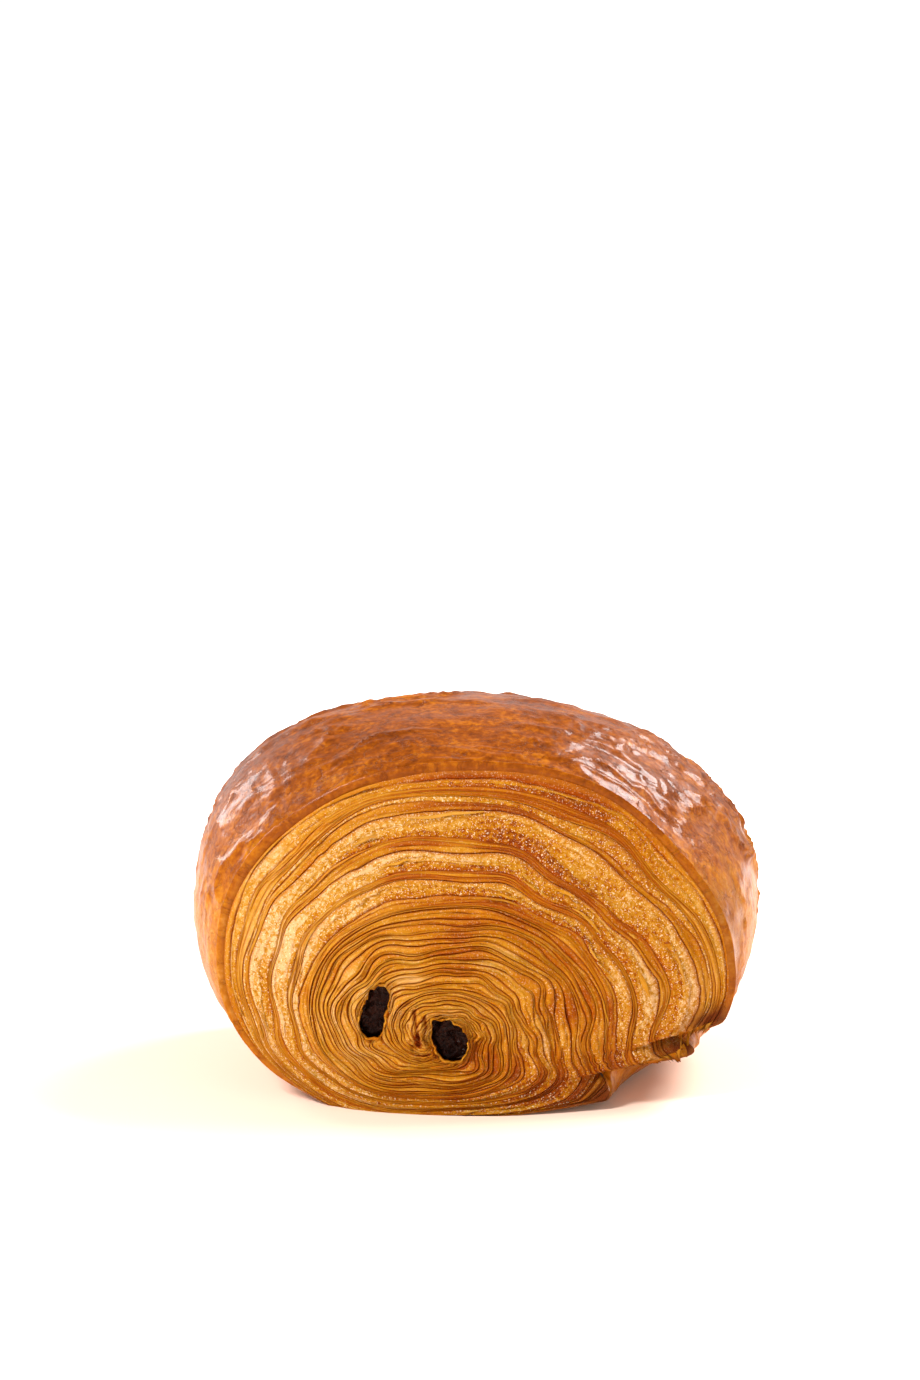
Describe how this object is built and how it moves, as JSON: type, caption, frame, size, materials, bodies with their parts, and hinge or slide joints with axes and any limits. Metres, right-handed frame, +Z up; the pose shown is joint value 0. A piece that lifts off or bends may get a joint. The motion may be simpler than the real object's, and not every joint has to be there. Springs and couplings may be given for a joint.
{
  "type": "pain au chocolat",
  "caption": "Whole pain au chocolat: glazed laminated dough rolled round chocolate bars that run through it, with domed ends that show the rolled layers and a flat underside.",
  "frame": {"origin": "on the table, under the middle of the pastry", "axes": "+X to the right across the roll, +Y along the roll away from the end that faces the viewer, +Z up"},
  "size_m": [0.0999, 0.094, 0.0655],
  "materials": {
    "baked_dough": "baked golden brown dough, glossy on the egg-washed crust and matt on the layers",
    "dark_chocolate": "dark chocolate that has softened and set again, with a dull sheen"
  },
  "bodies": {
    "root": {"pastry": "baked_dough", "chocolate_bar_left": "dark_chocolate", "chocolate_bar_right": "dark_chocolate"}
  },
  "joints": []
}
